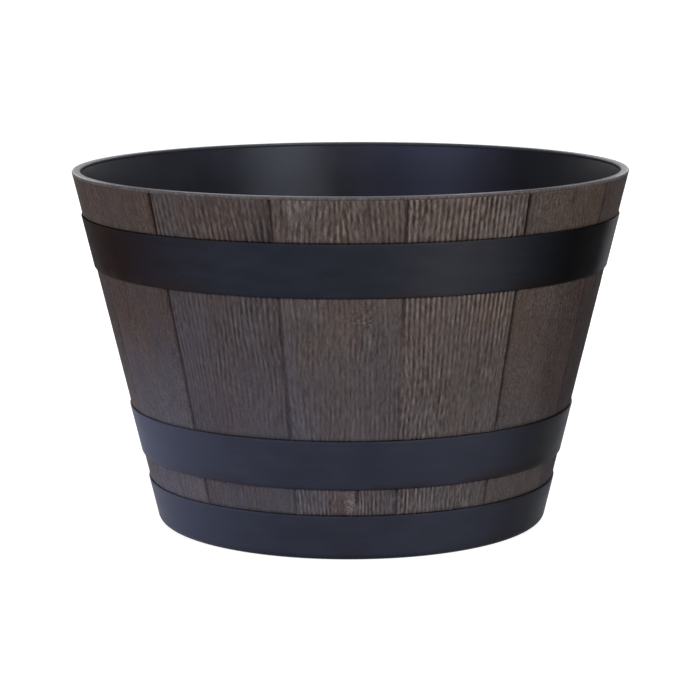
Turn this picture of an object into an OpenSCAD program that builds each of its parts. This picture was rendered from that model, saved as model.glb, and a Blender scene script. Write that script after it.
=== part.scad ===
// Half-barrel planter in resin: a tapered shell moulded as staves, an inner pot nested
// in it, a rim ring over both top edges, hoops round the outside and push-in drain plugs.
// Lengths are in millimetres and angles in degrees. The origin is the centre of the
// underside, +Z is up and -Y is the front. Wall thicknesses are measured level.

/* [Overall size] */
// Outside diameter at the rim
rim_d = 520; // [440:1:600]
// Outside diameter of the stave wall, run down to the ground
base_d = 363; // [300:1:420]
// Overall height
height = 333; // [280:1:420]

/* [Walls] */
// Thickness of the stave shell
shell_t = 4.2; // [3.2:0.1:8]
// Thickness of the inner pot's wall
pot_t = 3.1; // [2:0.1:8]
// Clearance between the shell and the inner pot
nest_gap = 0.3; // [0.1:0.1:2]
// Clearance of a hoop on its seat and of the rim ring's tongue in its groove
fit_gap = 0.15; // [0.05:0.05:0.3]

/* [Staves] */
// Number of staves round the shell
stave_count = 14; // [8:1:24]
// Bearing of the first stave joint, from the front towards +X
first_joint = 10.8; // [0:0.1:25]
// How far the joints swing from even spacing, for staves of uneven width
joint_swing = 1.7; // [0:0.1:4]
// Width of the V-groove between two staves
joint_w = 3; // [1:0.1:6]
// Depth of the V-groove between two staves
joint_depth = 1.5; // [0.5:0.1:2]

/* [Hoops] */
// How far a hoop stands proud of the staves
hoop_proud = 1.4; // [0.6:0.1:4]
// How deep a hoop is let into the staves
seat_depth = 1; // [0.5:0.1:2]
// Open line between a hoop's top edge and the staves
hoop_top_gap = 1.5; // [0.5:0.1:4]
// Chamfer on a hoop's outer edges
hoop_edge = 0.5; // [0.1:0.1:0.6]
// Height of the upper hoop
upper_hoop_h = 48; // [20:1:70]
// From the rim's top down to the upper hoop's top edge
upper_hoop_drop = 41; // [20:1:70]
// Height of the lower hoop
lower_hoop_h = 45; // [20:1:60]
// Height of the lower hoop's bottom edge above the ground
lower_hoop_z = 68; // [56:1:90]
// Height of the base hoop
base_hoop_h = 42.5; // [25:0.5:50]
// Radius of the base hoop's bottom edge
base_round = 8; // [4:0.5:14]
// Thickness of the base hoop's turned-in foot, which carries the shell and the inner pot
foot_t = 3; // [2:0.5:6]
// How far the foot reaches in past the inner pot's wall
foot_lap = 5; // [2:0.5:20]

/* [Rim ring] */
// Height of the rim ring above the staves
rim_h = 3.2; // [3.2:0.1:10]
// Radius of the rim's outer edge
rim_outer_round = 1.5; // [0.5:0.1:1.6]
// Radius of the rim's inner edge
rim_inner_round = 1.2; // [0.5:0.1:1.6]
// Depth of the rim ring's tongue between the walls
tongue_h = 8; // [4:0.5:16]
// How far the tongue's groove bites into each wall
tongue_bite = 0.8; // [0.5:0.1:1.2]

/* [Floor] */
// Height of the pot's floor above the foot
floor_raise = 9; // [7:0.5:20]
// Thickness of the pot's floor
floor_t = 4; // [2.5:0.5:8]
// Radius of the corner inside the pot, between floor and wall
floor_round = 14; // [6:1:24]
// Number of ribs under the floor
rib_count = 8; // [4:4:12]
// Thickness of a rib
rib_t = 2.5; // [1.5:0.1:4]
// Height of a rib
rib_h = 5; // [3:0.5:6]

/* [Drain plugs] */
// Diameter of a drain hole
drain_d = 13.2; // [10:0.1:18]
// Diameter of the circle of the outer drain holes
drain_circle_d = 220; // [140:5:240]
// Wall of the boss under a drain hole
boss_t = 3.5; // [2:0.5:5]
// Depth of the boss under the floor
boss_h = 2; // [1:0.5:3]
// Clearance all round a plug's stem in its hole
stem_gap = 0.3; // [0.2:0.05:0.5]
// How far a plug's stem reaches below its boss
stem_reach = 2; // [1:0.5:3]
// How far a plug's flange reaches past the hole's edge
flange_w = 5.4; // [3:0.1:10]
// Thickness of a plug's flange
flange_t = 2.5; // [1.5:0.1:4]
// Height of the finger grip on a plug
grip_h = 8; // [5:0.5:16]
// Thickness of the finger grip on a plug
grip_t = 3; // [2:0.1:5]

/* [Hidden] */
$fn = 96;

// A cutting tool reaches this far past the face that it cuts
cut = 5;
// Two parts of one solid sink this far into each other
sink = 0.5;
// Steps in a rounded edge
round_steps = 8;

// Lean of the wall per unit of height, and its angle from upright
lean = (rim_d - base_d) / 2 / height;
lean_angle = atan(lean);

// Levels, from the ground up
floor_under = foot_t + floor_raise;
floor_top = floor_under + floor_t;
upper_hoop_top = height - upper_hoop_drop;
rim_under = height - rim_h;
boss_under = floor_under - boss_h;

// Level distances inwards from the stave wall's outer face
pot_outer_in = shell_t + nest_gap;
pot_inner_in = pot_outer_in + pot_t;
hoop_inner_in = seat_depth - fit_gap;

// The corner under the base hoop, which the shell's bottom edge follows
foot_chamfer = min(base_round / 2, shell_t - seat_depth);

stem_r = drain_d / 2 - stem_gap;
flange_r = drain_d / 2 + flange_w;
hoop_colour = [0.18, 0.19, 0.24];
walnut_colour = [0.36, 0.31, 0.29];
rim_colour = [0.45, 0.43, 0.44];
pot_colour = [0.15, 0.16, 0.18];
plug_colour = [0.1, 0.1, 0.11];

// Radius of the stave wall's outer face at a level
function wall_r(z) = base_d / 2 + lean * z;

// Points of an arc, from one angle to another
function arc(centre, r, from, to) =
    [for (i = [0:round_steps]) let (a = from + (to - from) * i / round_steps)
        centre + r * [cos(a), sin(a)]];

// Bearing of a stave joint, from the front towards +X
function joint_bearing(i) =
    let (even = i * 360 / stave_count) first_joint + even + joint_swing * sin(even);

// A conical sleeve that follows the wall, between two levels and two distances inwards
module sleeve(z0, z1, outer_in, inner_in) {
    rotate_extrude()
        polygon([
            [wall_r(z0) - inner_in, z0],
            [wall_r(z0) - outer_in, z0],
            [wall_r(z1) - outer_in, z1],
            [wall_r(z1) - inner_in, z1]
        ]);
}

// The groove in the staves that a hoop sits in, with the open line above the hoop
module hoop_seat(z0, z1) {
    sleeve(z0, z1 + hoop_top_gap, -cut, seat_depth);
}

// The V-groove between two staves, along the slanted wall
module stave_joint(bearing) {
    spread = joint_w / 2 * (1 + cut / joint_depth);
    rotate([0, 0, bearing - 90])
        translate([wall_r(0), 0, 0])
            rotate([0, lean_angle, 0])
                translate([0, 0, -cut])
                    linear_extrude(height = height / cos(lean_angle) + 2 * cut)
                        polygon([[-joint_depth, 0], [cut, -spread], [cut, spread]]);
}

module stave_shell() {
    color(walnut_colour)
        difference() {
            sleeve(foot_t, rim_under, 0, shell_t);
            hoop_seat(foot_t - cut, base_hoop_h);
            hoop_seat(lower_hoop_z, lower_hoop_z + lower_hoop_h);
            hoop_seat(upper_hoop_top - upper_hoop_h, upper_hoop_top);
            sleeve(rim_under - tongue_h, rim_under + cut, shell_t - tongue_bite, shell_t + cut);
            shell_foot_cut();
            for (i = [0:stave_count - 1])
                stave_joint(joint_bearing(i));
        }
}

// Takes the shell's bottom edge back to a chamfer, to clear the rounded base hoop
module shell_foot_cut() {
    seat_r = wall_r(foot_t) - seat_depth;
    top = foot_t + foot_chamfer;
    rotate_extrude()
        polygon([
            [seat_r - foot_chamfer, foot_t],
            [wall_r(top) - seat_depth, top],
            [wall_r(top) + cut, top],
            [wall_r(top) + cut, foot_t - cut],
            [seat_r - foot_chamfer, foot_t - cut]
        ]);
}

// A hoop with chamfered outer edges, between two levels
module hoop(z0, z1) {
    color(hoop_colour)
        rotate_extrude()
            polygon([
                [wall_r(z0) - hoop_inner_in, z0],
                [wall_r(z0) + hoop_proud - hoop_edge, z0],
                [wall_r(z0 + hoop_edge) + hoop_proud, z0 + hoop_edge],
                [wall_r(z1 - hoop_edge) + hoop_proud, z1 - hoop_edge],
                [wall_r(z1) + hoop_proud - hoop_edge, z1],
                [wall_r(z1) - hoop_inner_in, z1]
            ]);
}

module upper_hoop() {
    hoop(upper_hoop_top - upper_hoop_h, upper_hoop_top);
}

module lower_hoop() {
    hoop(lower_hoop_z, lower_hoop_z + lower_hoop_h);
}

module base_hoop() {
    z1 = base_hoop_h;
    round_r = wall_r(base_round) + hoop_proud - base_round / cos(lean_angle);
    seat_r = wall_r(foot_t) - hoop_inner_in;
    chamfer_top = foot_t + foot_chamfer;
    foot_r = wall_r(foot_t) - pot_inner_in - foot_lap;
    color(hoop_colour)
        rotate_extrude()
            polygon(concat(
                [[foot_r, 0]],
                arc([round_r, base_round], base_round, -90, -lean_angle),
                [
                    [wall_r(z1 - hoop_edge) + hoop_proud, z1 - hoop_edge],
                    [wall_r(z1) + hoop_proud - hoop_edge, z1],
                    [wall_r(z1) - hoop_inner_in, z1],
                    [wall_r(chamfer_top) - hoop_inner_in, chamfer_top],
                    [seat_r - foot_chamfer, foot_t],
                    [foot_r, foot_t]
                ]
            ));
}

module rim_ring() {
    outer_z = height - rim_outer_round;
    outer_r = wall_r(outer_z) - rim_outer_round / cos(lean_angle);
    inner_z = height - rim_inner_round;
    inner_r = wall_r(inner_z) - pot_inner_in + rim_inner_round / cos(lean_angle);
    color(rim_colour)
        union() {
            rotate_extrude()
                polygon(concat(
                    [[wall_r(rim_under) - pot_inner_in, rim_under]],
                    [[wall_r(rim_under), rim_under]],
                    arc([outer_r, outer_z], rim_outer_round, -lean_angle, 90),
                    arc([inner_r, inner_z], rim_inner_round, 90, 180 - lean_angle)
                ));
            sleeve(rim_under - tongue_h + fit_gap, rim_under + sink,
                shell_t - tongue_bite + fit_gap, pot_outer_in + tongue_bite - fit_gap);
        }
}

// Puts its children at each drain hole
module at_drains() {
    children();
    for (a = [0:90:270])
        rotate([0, 0, a])
            translate([drain_circle_d / 2, 0, 0])
                children();
}

// The pot's floor, out to its wall
module pot_floor() {
    rotate_extrude()
        polygon([
            [0, floor_under],
            [wall_r(floor_under) - pot_inner_in + sink, floor_under],
            [wall_r(floor_top) - pot_inner_in + sink, floor_top],
            [0, floor_top]
        ]);
}

// The hollow corner between the pot's floor and its wall
module floor_corner() {
    tangent = floor_round * tan(45 - lean_angle / 2);
    corner_r = wall_r(floor_top) - pot_inner_in;
    wall_z = tangent * cos(lean_angle);
    rotate_extrude()
        polygon(concat(
            [[corner_r - tangent, floor_top - sink]],
            arc([corner_r - tangent, floor_top + floor_round], floor_round, -90, -lean_angle),
            [
                [corner_r + lean * wall_z + sink, floor_top + wall_z],
                [corner_r + sink, floor_top - sink]
            ]
        ));
}

// The floor's ribs, from the centre boss out to the pot's wall
module floor_ribs() {
    rib_length = wall_r(floor_under) - pot_inner_in + sink;
    for (i = [0:rib_count - 1])
        rotate([0, 0, (i + 0.5) * 360 / rib_count])
            translate([0, -rib_t / 2, floor_under - rib_h])
                cube([rib_length, rib_t, rib_h + sink]);
}

module inner_pot() {
    color(pot_colour)
        difference() {
            union() {
                sleeve(foot_t, rim_under, pot_outer_in, pot_inner_in);
                pot_floor();
                floor_corner();
                floor_ribs();
                at_drains()
                    translate([0, 0, boss_under])
                        cylinder(h = boss_h + sink, r = drain_d / 2 + boss_t);
            }
            at_drains()
                translate([0, 0, boss_under - cut])
                    cylinder(h = floor_top - boss_under + 2 * cut, d = drain_d);
            sleeve(rim_under - tongue_h, rim_under + cut, pot_outer_in - cut,
                pot_outer_in + tongue_bite);
        }
}

// A push-in plug on the axis: its flange lies on the floor and its stem fills the hole
module drain_plug() {
    stem_bottom = boss_under - stem_reach;
    color(plug_colour)
        union() {
            translate([0, 0, stem_bottom])
                cylinder(h = floor_top - stem_bottom + sink, r = stem_r);
            translate([0, 0, floor_top])
                cylinder(h = flange_t, r = flange_r);
            translate([0, 0, floor_top + flange_t - sink])
                intersection() {
                    cylinder(h = grip_h + sink, r = flange_r - flange_t);
                    translate([-flange_r, -grip_t / 2, 0])
                        cube([2 * flange_r, grip_t, grip_h + sink]);
                }
        }
}

// A plug in one of the outer holes, on a bearing from the front towards +X
module outer_plug(bearing) {
    rotate([0, 0, bearing - 90])
        translate([drain_circle_d / 2, 0, 0])
            drain_plug();
}

module drain_plug_centre() {
    drain_plug();
}

module drain_plug_front() {
    outer_plug(0);
}

module drain_plug_right() {
    outer_plug(90);
}

module drain_plug_back() {
    outer_plug(180);
}

module drain_plug_left() {
    outer_plug(270);
}

base_hoop();
stave_shell();
inner_pot();
lower_hoop();
upper_hoop();
rim_ring();
drain_plug_centre();
drain_plug_front();
drain_plug_right();
drain_plug_back();
drain_plug_left();
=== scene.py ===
import math

import bpy
import numpy as np
from mathutils import Matrix, Vector


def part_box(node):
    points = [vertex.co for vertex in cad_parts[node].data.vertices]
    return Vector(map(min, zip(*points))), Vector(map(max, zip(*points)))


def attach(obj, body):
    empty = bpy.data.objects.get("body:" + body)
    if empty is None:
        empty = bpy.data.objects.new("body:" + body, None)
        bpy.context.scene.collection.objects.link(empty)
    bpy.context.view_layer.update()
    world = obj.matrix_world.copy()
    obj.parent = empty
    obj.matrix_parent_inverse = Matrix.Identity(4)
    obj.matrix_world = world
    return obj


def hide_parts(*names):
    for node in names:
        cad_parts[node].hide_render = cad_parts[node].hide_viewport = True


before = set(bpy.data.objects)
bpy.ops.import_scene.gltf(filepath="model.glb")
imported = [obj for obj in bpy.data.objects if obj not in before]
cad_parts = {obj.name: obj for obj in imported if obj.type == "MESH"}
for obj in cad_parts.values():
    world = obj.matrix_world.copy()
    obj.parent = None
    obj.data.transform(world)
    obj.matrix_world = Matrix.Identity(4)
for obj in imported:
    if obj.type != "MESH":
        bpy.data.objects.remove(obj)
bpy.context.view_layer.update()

# The planter's sizes, in metres, as the solids have them. A name ending in IN is a distance in from the
# staves' outer face, and one ending in Z or UNDER is a level. Hoops are given from bottom to top.
RIM_R = 0.260
BASE_R = 0.1815
HEIGHT = 0.333
LEAN = (RIM_R - BASE_R) / HEIGHT
LEAN_ANGLE = math.atan(LEAN)
SHELL_T = 0.0042
FIT_GAP = 0.00015
POT_OUTER_IN = 0.0045
POT_INNER_IN = 0.0076
FOOT_Z = 0.003
FOOT_LAP = 0.005
FOOT_CHAMFER = 0.0032
RIM_UNDER = 0.3298
RIM_OUTER_ROUND = 0.0015
RIM_INNER_ROUND = 0.0012
TONGUE_Z = 0.3218
TONGUE_BITE = 0.0008
SEAT_DEPTH = 0.001
HOOP_INNER_IN = 0.00085
HOOP_PROUD = 0.0014
UPPER_HOOP = (0.244, 0.292)
LOWER_HOOP = (0.068, 0.113)
BASE_HOOP_TOP = 0.0425
BASE_ROUND = 0.008
# Staves, the bearing of the first joint and how far the others stand off an even spacing, in degrees. A
# bearing runs from the front towards +X.
STAVES = 14
FIRST_JOINT = 10.8
JOINT_SWING = 1.7
# The open line above each hoop, which the solids have wider, at 0.0015
SHOWN_GAP = 0.0009


def wall_r(z):
    """Radius of the stave wall's outer face at a level."""
    return BASE_R + LEAN * z


def joint_bearing(i):
    """Bearing of stave joint i, in degrees."""
    even = i * 360.0 / STAVES
    return FIRST_JOINT + even + JOINT_SWING * math.sin(math.radians(even))


def smoothstep(t):
    """Rises from 0 at 0 to 1 at 1, flat at both ends and beyond."""
    t = np.clip(t, 0.0, 1.0)
    return t * t * (3.0 - 2.0 * t)


def value_noise(rng, x, y):
    """Smooth noise from -1 to 1; a step of 1 in x or y reaches the next random value."""
    x = x - x.min()
    y = y - y.min()
    i = x.astype(int)
    j = y.astype(int)
    table = rng.uniform(-1.0, 1.0, (i.max() + 2, j.max() + 2))
    fx = smoothstep(x - i)
    fy = smoothstep(y - j)
    low = table[i, j] * (1 - fx) + table[i + 1, j] * fx
    high = table[i, j + 1] * (1 - fx) + table[i + 1, j + 1] * fx
    return low * (1 - fy) + high * fy


def ring_noise(rng, bearings, cells):
    """Smooth noise from -1 to 1 that closes on itself round the ring."""
    t = np.mod(bearings / 360.0, 1.0) * cells
    i = t.astype(int)
    table = rng.uniform(-1.0, 1.0, cells)
    f = smoothstep(t - i)
    return table[i % cells] * (1 - f) + table[(i + 1) % cells] * f


def ring_grid(name, radius, level, bearings):
    """A closed surface of revolution. Rows run down the outside and up the inside, columns round. Radius,
    level and bearings may leave out what is the same along a row or a column."""
    radius, level, bearings = np.broadcast_arrays(radius, level, bearings)
    rows, cols = radius.shape
    a = np.radians(bearings)
    points = np.stack([radius * np.sin(a), -radius * np.cos(a), level], -1).reshape(-1, 3)
    r = np.arange(rows)[:, None]
    c = np.arange(cols)[None, :]
    r1 = (r + 1) % rows
    c1 = (c + 1) % cols
    faces = np.stack([r * cols + c, r1 * cols + c, r1 * cols + c1, r * cols + c1], -1)
    mesh = bpy.data.meshes.new(name)
    mesh.from_pydata(points.tolist(), [], faces.reshape(-1, 4).tolist())
    mesh.shade_smooth()
    piece = bpy.data.objects.new(name, mesh)
    bpy.context.scene.collection.objects.link(piece)
    return piece


def add_attribute(piece, name, values, shape):
    """Hands values to the piece's material, point by point of its grid of this shape."""
    attribute = piece.data.attributes.new(name, "FLOAT", "POINT")
    attribute.data.foreach_set("value", np.broadcast_to(values, shape).astype(np.float32).ravel())


# Materials

class Graph:
    """Builds one node tree: add() makes a node and fills its inputs with values or links."""

    def __init__(self, tree):
        self.tree = tree
        tree.nodes.clear()

    def add(self, kind, inputs=None, **settings):
        node = self.tree.nodes.new(kind)
        for key, value in settings.items():
            setattr(node, key, value)
        for key, value in (inputs or {}).items():
            socket = node.inputs[key]
            if isinstance(value, bpy.types.NodeSocket):
                self.tree.links.new(value, socket)
            else:
                socket.default_value = value
        return node

    def place(self):
        """Where a point lies on the piece, in metres."""
        return self.add("ShaderNodeTexCoord").outputs["Object"]

    def field(self, name):
        """Values that add_attribute gave to the mesh."""
        return self.add("ShaderNodeAttribute", attribute_name=name).outputs["Fac"]

    def math(self, operation, a, b=0.0, c=0.0):
        return self.add("ShaderNodeMath", {0: a, 1: b, 2: c}, operation=operation).outputs[0]

    def spread(self, value, low, high, to_low=0.0, to_high=1.0):
        """Maps low..high to to_low..to_high, clamped."""
        node = self.add("ShaderNodeMapRange", {
            "Value": value, "From Min": low, "From Max": high, "To Min": to_low, "To Max": to_high})
        return node.outputs["Result"]

    def noise(self, vector, scale, detail=2.0, roughness=0.5, stretch=None):
        """Noise about 0.5, of this scale in every direction or stretched by three scales of its own."""
        if stretch is not None:
            vector = self.add("ShaderNodeVectorMath", {0: vector, 1: stretch},
                              operation="MULTIPLY").outputs["Vector"]
        node = self.add("ShaderNodeTexNoise", {
            "Vector": vector, "Scale": scale, "Detail": detail, "Roughness": roughness})
        return node.outputs["Fac"]

    def mix_value(self, factor, a, b):
        """Goes from number a to number b as the factor goes from 0 to 1."""
        return self.add("ShaderNodeMix", {0: factor, 2: a, 3: b}, data_type="FLOAT").outputs[0]

    def mix(self, factor, a, b, blend="MIX"):
        """Lays colour b over colour a, by the factor."""
        node = self.add("ShaderNodeMix", {0: factor, 6: a, 7: b}, data_type="RGBA", blend_type=blend)
        return node.outputs[2]

    def ramp(self, value, stops):
        """Turns a value into a colour, from stops of a value and a colour."""
        node = self.add("ShaderNodeValToRGB", {"Fac": value})
        elements = node.color_ramp.elements
        while len(elements) < len(stops):
            elements.new(0.5)
        for element, (position, colour) in zip(elements, stops):
            element.position = position
            element.color = (*colour, 1.0)
        return node.outputs["Color"]

    def bump(self, height, distance, strength, normal=None):
        """Tilts the normal by a height of 0 to 1 that stands for this distance in metres."""
        inputs = {"Height": height, "Distance": distance, "Strength": strength}
        if normal is not None:
            inputs["Normal"] = normal
        return self.add("ShaderNodeBump", inputs).outputs["Normal"]


def new_material(name):
    """An empty material and the graph to fill it with."""
    material = bpy.data.materials.new(name)
    material.use_nodes = True
    return material, Graph(material.node_tree)


def finish_material(graph, inputs):
    """Ends the tree in one Principled surface."""
    surface = graph.add("ShaderNodeBsdfPrincipled", inputs)
    graph.add("ShaderNodeOutputMaterial", {"Surface": surface.outputs["BSDF"]})


def colour(r, g, b):
    """A linear colour for a node's socket."""
    return (r, g, b, 1.0)


def walnut_material():
    """Moulded resin grain, wiped brown: light on the ridges, dark in the grooves, which is partly painted
    shade.
    """
    material, g = new_material("walnut_grain")
    stave_uv = g.add("ShaderNodeUVMap", uv_map="stave_uv").outputs["UV"]
    uv = g.add("ShaderNodeSeparateXYZ", {0: stave_uv}).outputs
    across, depth, comb, even, mottle, shade, tint = (g.field(name) for name in GRAIN_FIELDS)
    level = uv["Y"]
    along = g.add("ShaderNodeCombineXYZ", {"X": across, "Y": level, "Z": uv["X"]}).outputs["Vector"]
    # Long streaks and short flecks make up the fibre, which breaks into spots where the grain is mottled
    streak = g.noise(along, 1.0, 2.0, 0.55, (400.0, 36.0, 20.0))
    fleck = g.noise(along, 1.0, 2.0, 0.6, (520.0, 130.0, 20.0))
    spot = g.noise(along, 1.0, 1.0, 0.5, (600.0, 520.0, 1.0))
    fibre = g.math("MULTIPLY_ADD", g.math("SUBTRACT", streak, 0.5), 0.65,
                   g.math("MULTIPLY", g.math("SUBTRACT", fleck, 0.5), 1.35))
    fibre = g.mix_value(mottle, fibre, g.math("MULTIPLY", g.math("SUBTRACT", spot, 0.5), 2.2))
    # The mesh's ridges are lighter on top and darker between, partly as painted shade, with breaks where they
    # aren't even
    ridge = g.math("COSINE", g.math("MULTIPLY", across, 2000.0 * math.pi / RIDGE_PITCH))
    breaks = g.spread(g.noise(along, 1.0, 1.0, 0.5, (210.0, 110.0, 1.0)), 0.34, 0.66, -0.1, 1.3)
    breaks = g.mix_value(even, breaks, 0.95)
    fibre = g.math("MULTIPLY_ADD", g.math("MULTIPLY", g.math("MULTIPLY", ridge, breaks), comb), 0.30, fibre)
    # Fibre, blotches, stains and painted shade give one value from dark to light
    blotch = g.noise(along, 1.0, 4.0, 0.6, (30.0, 20.0, 1.0))
    value = g.math("MULTIPLY_ADD", fibre, depth, 0.5)
    value = g.math("MULTIPLY_ADD", g.math("SUBTRACT", blotch, 0.5), 0.22, value)
    value = g.math("SUBTRACT", value, shade)
    body = g.ramp(value, [
        (0.0, (0.026, 0.020, 0.020)),
        (0.25, (0.050, 0.040, 0.039)),
        (0.5, (0.079, 0.066, 0.063)),
        (0.75, (0.120, 0.103, 0.097)),
        (1.0, (0.180, 0.160, 0.150))])
    # Warm and cool areas, bluish painted light low on the wall that fades up it, and near black where the
    # shade is deepest
    warm = g.noise(along, 1.0, 3.0, 0.6, (21.0, 12.0, 1.0))
    body = g.mix(g.spread(warm, 0.3, 0.7), body, colour(1.09, 0.95, 0.84), "MULTIPLY")
    body = g.mix(g.spread(tint, 0.0, 1.0), body, colour(1.12, 0.95, 0.80), "MULTIPLY")
    body = g.mix(g.spread(tint, -1.0, 0.0, 1.0, 0.0), body, colour(0.90, 1.00, 1.20), "MULTIPLY")
    painted_low_light = g.spread(g.math("MULTIPLY_ADD", blotch, 0.05, level), 0.05, 0.33, 1.0, 0.0)
    body = g.mix(painted_low_light, body, colour(1.14, 1.22, 1.40), "MULTIPLY")
    body = g.mix(g.spread(shade, 0.33, 0.6), body, colour(0.42, 0.40, 0.42), "MULTIPLY")
    finish_material(g, {
        "Base Color": body,
        "Roughness": g.spread(value, 0.2, 0.8, 0.82, 0.70),
        "Specular IOR Level": 0.02,
        "Normal": g.bump(fibre, 0.0004, 0.6)})
    return material


def hoop_material(name, dark, light, paler_colour, specular):
    """Smooth blue-black paint over the resin, from dark to light: brushed a little, brown where thin, blacker
    in places, mostly as painted shade, and of a paler colour in others, mostly as a painted sheen."""
    material, g = new_material(name)
    place = g.place()
    edge, thin, darker_and_painted_shade, paler_and_painted_sheen = (g.field(field) for field in ("edge", "thin", "darker_and_painted_shade", "paler_and_painted_sheen"))
    cloud = g.noise(place, 9.0, 3.0, 0.55)
    grit = g.noise(place, 620.0, 2.0, 0.6)
    drift = g.noise(place, 30.0, 2.0, 0.5, (1.0, 1.0, 3.0))
    # Brush marks run round the hoop, in some of its areas
    brush = g.noise(place, 1.0, 2.0, 0.6, (34.0, 34.0, 360.0))
    marks = g.math("MULTIPLY", g.spread(brush, 0.58, 0.7), g.spread(cloud, 0.5, 0.62))
    base = g.mix(g.spread(drift, 0.3, 0.7), colour(*dark), colour(*light))
    base = g.mix(g.math("MULTIPLY", marks, 0.5), base, colour(0.034, 0.030, 0.032))
    base = g.mix(thin, base, colour(0.0150, 0.0078, 0.0066))
    base = g.mix(g.math("MULTIPLY", edge, g.spread(cloud, 0.5, 0.66)), base, colour(0.026, 0.018, 0.016))
    # Painted shade, mostly, where the paint is darker, and a painted sheen, mostly, where it is paler
    base = g.mix(darker_and_painted_shade, base, colour(0.0032, 0.0030, 0.0036))
    base = g.mix(paler_and_painted_sheen, base, colour(*paler_colour))
    height = g.math("MULTIPLY_ADD", drift, 5.0, grit)
    height = g.math("MULTIPLY_ADD", marks, 2.0, height)
    finish_material(g, {
        "Base Color": base,
        "Roughness": g.spread(drift, 0.25, 0.75, 0.46, 0.56),
        "Specular IOR Level": specular,
        "Specular Tint": colour(0.78, 0.86, 1.0),
        "Normal": g.bump(height, 0.00006, 0.5)})
    return material


def rim_material():
    """The rim: smooth lilac-grey on its flat top, walnut like the staves down its side, black like the pot
    inside. In places its flat top is rougher and darkened with painted shade."""
    material, g = new_material("rim_satin")
    place = g.place()
    top, inside, dull_and_shaded = (g.field(field) for field in ("top", "inside", "dull_and_shaded"))
    cloud = g.noise(place, 14.0, 4.0, 0.6)
    grit = g.noise(place, 500.0, 3.0, 0.6)
    grain = g.noise(place, 1.0, 2.0, 0.6, (330.0, 330.0, 60.0))
    flat = g.mix(g.spread(cloud, 0.35, 0.7), colour(0.057, 0.050, 0.061), colour(0.082, 0.071, 0.088))
    flat = g.mix(g.spread(grit, 0.45, 0.7, 0.0, 0.35), flat, colour(0.055, 0.047, 0.049))
    # Painted shade on the flat top where it is dull
    flat = g.mix(dull_and_shaded, flat, colour(0.022, 0.020, 0.022))
    side = g.mix(g.spread(grain, 0.40, 0.60), colour(0.061, 0.052, 0.051), colour(0.106, 0.092, 0.089))
    base = g.mix(inside, g.mix(top, side, flat), colour(0.037, 0.038, 0.050))
    finish_material(g, {
        "Base Color": base,
        "Roughness": g.mix_value(dull_and_shaded, g.spread(top, 0.0, 1.0, 0.8, 0.4), 0.9),
        "Specular IOR Level": 0.14,
        "Normal": g.bump(g.math("ADD", grit, grain), 0.0001, 0.6)})
    return material


def pot_material():
    """Black satin resin with the slight waves of a thin moulded wall. Painted shade darkens its right and far
    left, a painted bluish sheen lies at the back right, and painted light pales it round its mouth, but for
    the right."""
    material, g = new_material("pot_satin_black")
    place = g.place()
    wave = g.noise(place, 7.0, 1.0, 0.4, (1.0, 1.0, 0.5))
    dent = g.noise(place, 18.0, 1.0, 0.4, (1.0, 1.0, 0.7))
    cloud = g.noise(place, 24.0, 3.0, 0.6)
    grit = g.noise(place, 700.0, 2.0, 0.6)
    base = g.mix(g.spread(cloud, 0.35, 0.65), colour(0.0088, 0.0092, 0.0130), colour(0.0116, 0.0121, 0.0172))
    at = g.add("ShaderNodeSeparateXYZ", {0: place}).outputs
    # Painted shade at the right and far left
    base = g.mix(g.spread(at["X"], 0.10, 0.17), base, colour(0.0050, 0.0052, 0.0080))
    base = g.mix(g.spread(at["X"], -0.245, -0.205, 1.0, 0.0), base, colour(0.0045, 0.0047, 0.0072))
    # The painted bluish sheen fades out to both sides, to the front and down the wall
    painted_sheen_patch = g.math("MULTIPLY", g.spread(at["X"], -0.01, 0.07), g.spread(at["X"], 0.10, 0.17, 1.0, 0.0))
    painted_sheen_patch = g.math("MULTIPLY", painted_sheen_patch, g.spread(at["Y"], 0.0, 0.12))
    painted_sheen_patch = g.math("MULTIPLY", painted_sheen_patch, g.spread(at["Z"], 0.17, 0.29))
    base = g.mix(painted_sheen_patch, base, colour(0.0165, 0.0175, 0.0320))
    # Painted light round the mouth, but for the right
    painted_mouth_light = g.math("MULTIPLY", g.spread(at["Z"], 0.295, 0.325), g.spread(at["X"], 0.14, 0.21, 1.0, 0.0))
    base = g.mix(painted_mouth_light, base, colour(1.6, 1.6, 1.6), "MULTIPLY")
    height = g.math("MULTIPLY_ADD", dent, 0.3, wave)
    finish_material(g, {
        "Base Color": base,
        "Roughness": g.spread(cloud, 0.3, 0.7, 0.30, 0.37),
        "Specular IOR Level": 0.075,
        "Specular Tint": colour(0.82, 0.86, 1.0),
        "Normal": g.bump(grit, 0.00005, 0.4, g.bump(height, 0.007, 0.4))})
    return material


def rubber_material():
    """Matt black rubber with a fine moulded texture."""
    material, g = new_material("plug_matt_rubber")
    place = g.place()
    cloud = g.noise(place, 90.0, 3.0, 0.6)
    grit = g.noise(place, 1500.0, 2.0, 0.6)
    base = g.mix(g.spread(cloud, 0.35, 0.65), colour(0.010, 0.010, 0.011), colour(0.020, 0.020, 0.021))
    finish_material(g, {
        "Base Color": base,
        "Roughness": g.spread(cloud, 0.3, 0.7, 0.62, 0.8),
        "Specular IOR Level": 0.35,
        "Normal": g.bump(grit, 0.0001, 0.7)})
    return material


def put_material(piece, material):
    piece.data.materials.clear()
    piece.data.materials.append(material)


# The stave wall

# Columns of each stave, and their places beside a joint, in metres
COLUMNS = 88
MARGIN = [0.0, 0.0006, 0.0012, 0.0018, 0.0024, 0.0032]
# Rows of the strips between the hoops, from the top down
STRIP_ROWS = (13, 39, 9)
R_MID = wall_r(HEIGHT / 2)
# A joint's groove, in metres: its half-width, its depth, and the share of the depth that the faintest has
JOINT_HALF = 0.0024
JOINT_DEPTH = 0.0013
FAINTEST = 0.15
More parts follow.
